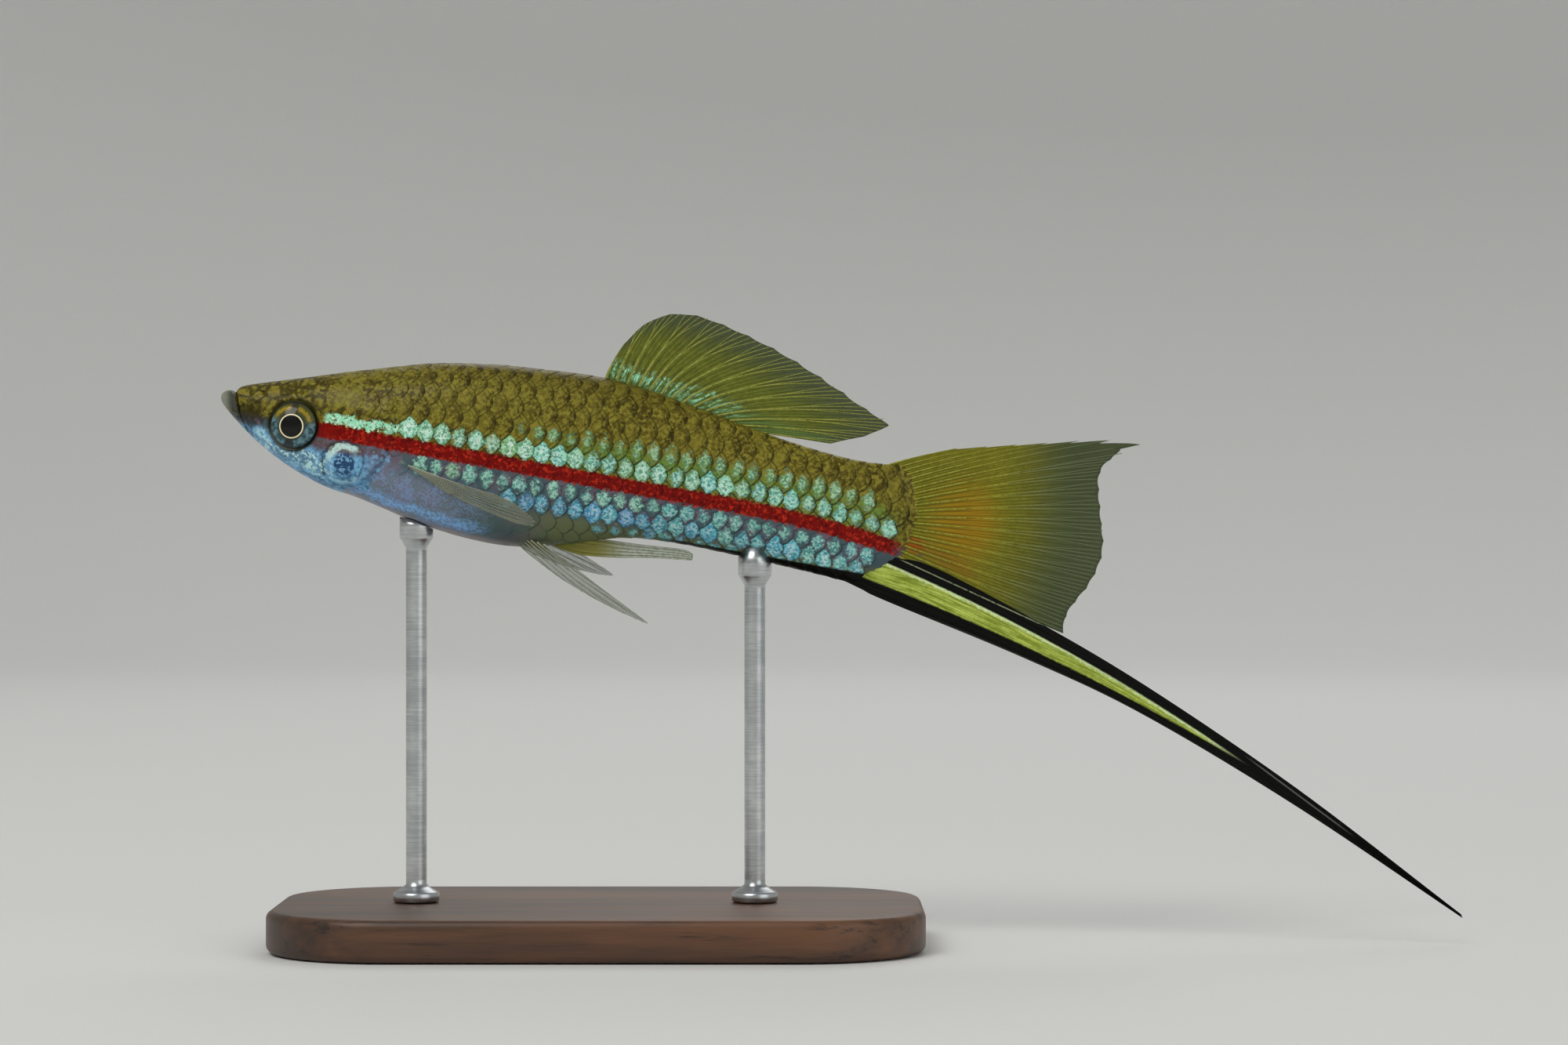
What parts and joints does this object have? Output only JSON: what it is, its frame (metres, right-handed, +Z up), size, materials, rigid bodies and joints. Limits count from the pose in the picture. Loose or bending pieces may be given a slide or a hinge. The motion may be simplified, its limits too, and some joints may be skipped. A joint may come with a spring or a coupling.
{
  "type": "swordtail fish model on a display stand",
  "caption": "Life-size still model of a male green swordtail swimming with its head up, long sword trailing, held over a flat base by slim rods.",
  "frame": {"origin": "centre of the underside of the stand's base", "axes": "+X from snout to tail, +Z up, the fish's left side faces -Y"},
  "size_m": [0.1188, 0.038, 0.0603],
  "materials": {
    "olive_skin": "glossy olive skin with a gold sheen",
    "grey_skin": "glossy grey translucent skin",
    "silver_blue_skin": "pearly silver blue skin",
    "eye": "clear dome over a gold iris and black pupil",
    "scaled_skin": "iridescent green and blue scales with a red side stripe",
    "olive_fin": "translucent olive membrane over yellow rays",
    "lime_fin": "lime green band between black edges",
    "clear_fin": "nearly clear membrane over pale rays",
    "dark_wood": "dark oiled wood",
    "steel_rod": "brushed"
  },
  "bodies": {
    "root": {"head": "olive_skin", "lower_jaw": "grey_skin", "gill_cover_left": "silver_blue_skin", "gill_cover_right": "silver_blue_skin", "eye_left": "eye", "eye_right": "eye", "trunk": "scaled_skin", "tail_peduncle": "scaled_skin", "dorsal_fin": "olive_fin", "caudal_fin": "olive_fin", "sword": "lime_fin", "gonopodium": "clear_fin", "pectoral_fin_left": "clear_fin", "pectoral_fin_right": "clear_fin", "pelvic_fin_left": "clear_fin", "pelvic_fin_right": "clear_fin", "stand_base": "dark_wood", "stand_rod_front": "steel_rod", "stand_rod_rear": "steel_rod"}
  },
  "joints": []
}
